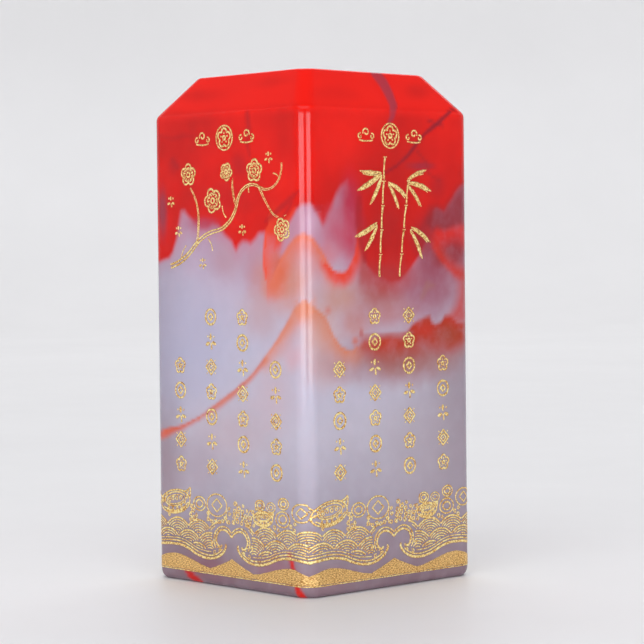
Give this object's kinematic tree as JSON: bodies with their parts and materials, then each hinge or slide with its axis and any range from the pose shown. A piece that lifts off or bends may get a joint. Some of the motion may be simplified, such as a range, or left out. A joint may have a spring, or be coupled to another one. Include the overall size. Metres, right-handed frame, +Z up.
{
  "type": "seal stamp",
  "caption": "Upright square seal stone with a bevelled top, engraved sides filled with gold, and a carved seal face underneath.",
  "frame": {"origin": "centre of the square seal face that the stone stands on", "axes": "+Z up along the stone, +X out of the right face, -Y out of the front face"},
  "size_m": [0.04, 0.04, 0.088],
  "materials": {
    "stone": "polished translucent seal stone, red at the top, milky violet-grey below, with red veins",
    "gold": "grainy gold filling in engraved lines"
  },
  "bodies": {
    "root": {"stone_block": "stone", "back_clouds": "gold", "back_coins": "gold", "back_columns": "gold", "back_heading": "gold", "back_ingots": "gold", "back_picture": "gold", "back_scroll_line": "gold", "back_wave_fans": "gold", "crest_back_left": "gold", "crest_front_right": "gold", "crest_left_front": "gold", "crest_right_back": "gold", "foot_line": "gold", "front_clouds": "gold", "front_coins": "gold", "front_columns": "gold", "front_heading": "gold", "front_ingots": "gold", "front_picture": "gold", "front_scroll_line": "gold", "front_wave_fans": "gold", "hill_band": "gold", "left_clouds": "gold", "left_coins": "gold", "left_columns": "gold", "left_heading": "gold", "left_ingots": "gold", "left_picture": "gold", "left_scroll_line": "gold", "left_wave_fans": "gold", "right_clouds": "gold", "right_coins": "gold", "right_columns": "gold", "right_heading": "gold", "right_ingots": "gold", "right_picture": "gold", "right_scroll_line": "gold", "right_wave_fans": "gold"}
  },
  "joints": []
}
